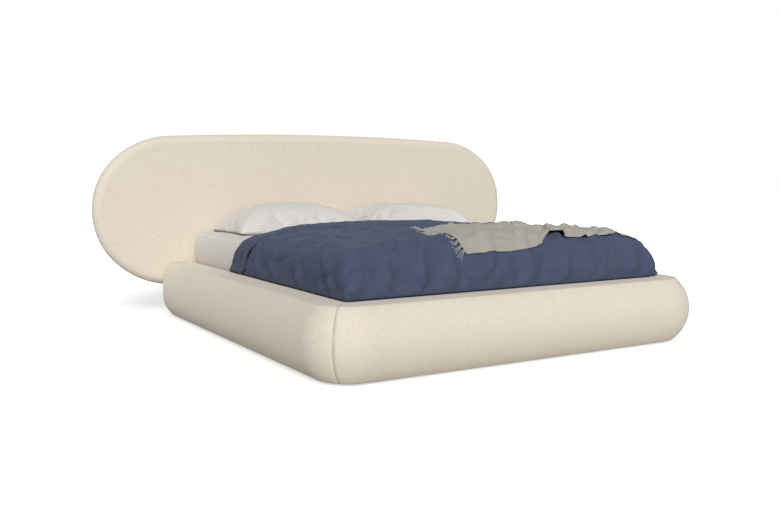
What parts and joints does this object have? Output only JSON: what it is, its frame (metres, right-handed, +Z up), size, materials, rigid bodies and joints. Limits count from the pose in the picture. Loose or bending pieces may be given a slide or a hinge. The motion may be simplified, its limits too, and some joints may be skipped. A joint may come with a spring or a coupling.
{
  "type": "upholstered double bed",
  "caption": "Low double bed with bulging padded rails and a wide pill-shaped padded headboard, dressed with a striped sheet, pillows, a duvet and a fringed throw.",
  "frame": {"origin": "on the floor, under the middle of the bed's bounding box", "axes": "+X across the bed to the right of someone standing at its foot, +Y from the foot to the headboard, +Z up"},
  "size_m": [3.014, 2.356, 1.1438],
  "materials": {
    "upholstery": "cream wool-blend upholstery cloth, fine nubbly weave",
    "foam": "cut polyurethane foam, hidden under the covers",
    "plywood": "sanded birch plywood, unfinished",
    "pine": "planed pine, unfinished",
    "webbing": "woven cotton tape",
    "zinc_steel": "zinc-plated steel",
    "black_plastic": "moulded black plastic",
    "lining": "plain beige lining cloth",
    "mattress_ticking": "white knitted mattress ticking",
    "striped_cotton": "white cotton with fine grey-beige stripes",
    "duvet_cotton": "slate-blue washed cotton",
    "throw_wool": "sage-grey fine wool weave"
  },
  "bodies": {
    "frame": {"beam_hanger_foot": "zinc_steel", "beam_hanger_head": "zinc_steel", "centre_beam": "pine", "centre_leg_1": "pine", "centre_leg_2": "pine", "centre_leg_3": "pine", "corner_bracket_left": "zinc_steel", "corner_bracket_right": "zinc_steel", "corner_screws": "zinc_steel", "glides": "black_plastic", "head_bracket_left": "zinc_steel", "head_bracket_right": "zinc_steel", "head_crossboard": "plywood", "headboard_back_cloth": "lining", "headboard_bolts": "zinc_steel", "headboard_cover": "upholstery", "headboard_crossrail": "pine", "headboard_foam": "foam", "headboard_leg_left": "pine", "headboard_leg_right": "pine", "headboard_panel": "plywood", "headboard_ring": "plywood", "headboard_upright_left": "pine", "headboard_upright_right": "pine", "ledger_left": "pine", "ledger_right": "pine", "ledger_screws": "zinc_steel", "rail_board_foot": "plywood", "rail_board_left": "plywood", "rail_board_right": "plywood", "rail_cover_foot": "upholstery", "rail_cover_left": "upholstery", "rail_cover_right": "upholstery", "rail_foam_foot": "foam", "rail_foam_left": "foam", "rail_foam_right": "foam", "slat_01": "pine", "slat_02": "pine", "slat_03": "pine", "slat_04": "pine", "slat_05": "pine", "slat_06": "pine", "slat_07": "pine", "slat_08": "pine", "slat_09": "pine", "slat_10": "pine", "slat_11": "pine", "slat_12": "pine", "slat_tapes": "webbing"},
    "mattress": {"mattress": "mattress_ticking", "fitted_sheet": "striped_cotton"},
    "duvet": {"duvet": "duvet_cotton"},
    "throw": {"throw": "throw_wool", "throw_fringe": "throw_wool"},
    "pillow_left": {"pillow_left": "striped_cotton"},
    "pillow_right": {"pillow_right": "striped_cotton"},
    "levelling_foot_1": {"levelling_foot_1": "black_plastic"},
    "levelling_foot_2": {"levelling_foot_2": "black_plastic"},
    "levelling_foot_3": {"levelling_foot_3": "black_plastic"}
  },
  "joints": [
    {"name": "mattress_lift", "type": "slide", "parent": "frame", "child": "mattress", "axis": [0, 0, 1], "range_m": [0, 0.3]},
    {"name": "duvet_lift", "type": "slide", "parent": "mattress", "child": "duvet", "axis": [0, 0, 1], "range_m": [0, 0.3]},
    {"name": "throw_lift", "type": "slide", "parent": "duvet", "child": "throw", "axis": [0, 0, 1], "range_m": [0, 0.2]},
    {"name": "pillow_left_lift", "type": "slide", "parent": "mattress", "child": "pillow_left", "axis": [0, 0, 1], "range_m": [0, 0.25]},
    {"name": "pillow_right_lift", "type": "slide", "parent": "mattress", "child": "pillow_right", "axis": [0, 0, 1], "range_m": [0, 0.25]},
    {"name": "levelling_foot_1_screw", "type": "slide", "parent": "frame", "child": "levelling_foot_1", "axis": [0, 0, -1], "range_m": [0, 0.015]},
    {"name": "levelling_foot_2_screw", "type": "slide", "parent": "frame", "child": "levelling_foot_2", "axis": [0, 0, -1], "range_m": [0, 0.015]},
    {"name": "levelling_foot_3_screw", "type": "slide", "parent": "frame", "child": "levelling_foot_3", "axis": [0, 0, -1], "range_m": [0, 0.015]}
  ]
}
